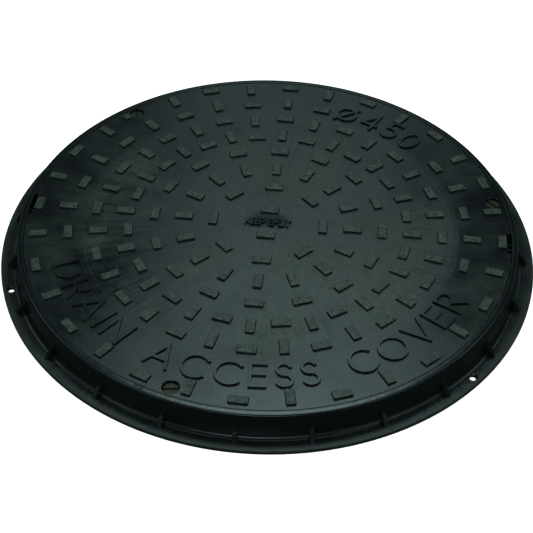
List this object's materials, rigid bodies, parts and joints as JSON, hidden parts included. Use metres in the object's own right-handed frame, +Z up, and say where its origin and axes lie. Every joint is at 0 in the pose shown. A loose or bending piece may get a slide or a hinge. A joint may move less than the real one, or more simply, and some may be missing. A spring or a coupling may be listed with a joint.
{
  "type": "manhole cover",
  "caption": "Round plastic access cover with a treaded, screw-down lid in a flanged frame, for an inspection chamber.",
  "frame": {"origin": "centre of the underside of the frame's flange", "axes": "+Z up out of the ground; +X through one lifting slot; the lettering is read from the -Y side"},
  "size_m": [0.542, 0.542, 0.0317],
  "materials": {
    "moulded_plastic": "satin, fine moulded grain",
    "sealing_rubber": "matt",
    "screw_metal": "dull passivated zinc",
    "insert_brass": "turned"
  },
  "bodies": {
    "frame": {"frame": "moulded_plastic", "gasket": "sealing_rubber", "threaded_insert_1": "insert_brass", "threaded_insert_2": "insert_brass", "threaded_insert_3": "insert_brass"},
    "cover": {"cover": "moulded_plastic"},
    "seal_1": {"screw_seal_1": "sealing_rubber"},
    "seal_2": {"screw_seal_2": "sealing_rubber"},
    "seal_3": {"screw_seal_3": "sealing_rubber"},
    "screw_1": {"screw_1": "screw_metal"},
    "screw_2": {"screw_2": "screw_metal"},
    "screw_3": {"screw_3": "screw_metal"}
  },
  "joints": [
    {"name": "cover_lift", "type": "slide", "parent": "frame", "child": "cover", "axis": [0, 0, 1], "range_m": [0, 0.15]},
    {"name": "screw_1_turn", "type": "hinge", "parent": "seal_1", "child": "screw_1", "pos_m": [0.22796, 0.06108, 0.02], "axis": [0, 0, 1], "range_deg": [0, 2520]},
    {"name": "screw_1_rise", "type": "slide", "parent": "cover", "child": "seal_1", "axis": [0, 0, 1], "range_m": [0, 0.00875]},
    {"name": "screw_2_turn", "type": "hinge", "parent": "seal_2", "child": "screw_2", "pos_m": [-0.16688, 0.16688, 0.02], "axis": [0, 0, 1], "range_deg": [0, 2520]},
    {"name": "screw_2_rise", "type": "slide", "parent": "cover", "child": "seal_2", "axis": [0, 0, 1], "range_m": [0, 0.00875]},
    {"name": "screw_3_turn", "type": "hinge", "parent": "seal_3", "child": "screw_3", "pos_m": [-0.06108, -0.22796, 0.02], "axis": [0, 0, 1], "range_deg": [0, 2520]},
    {"name": "screw_3_rise", "type": "slide", "parent": "cover", "child": "seal_3", "axis": [0, 0, 1], "range_m": [0, 0.00875]}
  ],
  "couplings": [
    {"joint": "screw_1_rise", "follows": "screw_1_turn", "m_per_rad": 0.00019894},
    {"joint": "screw_2_rise", "follows": "screw_2_turn", "m_per_rad": 0.00019894},
    {"joint": "screw_3_rise", "follows": "screw_3_turn", "m_per_rad": 0.00019894}
  ]
}
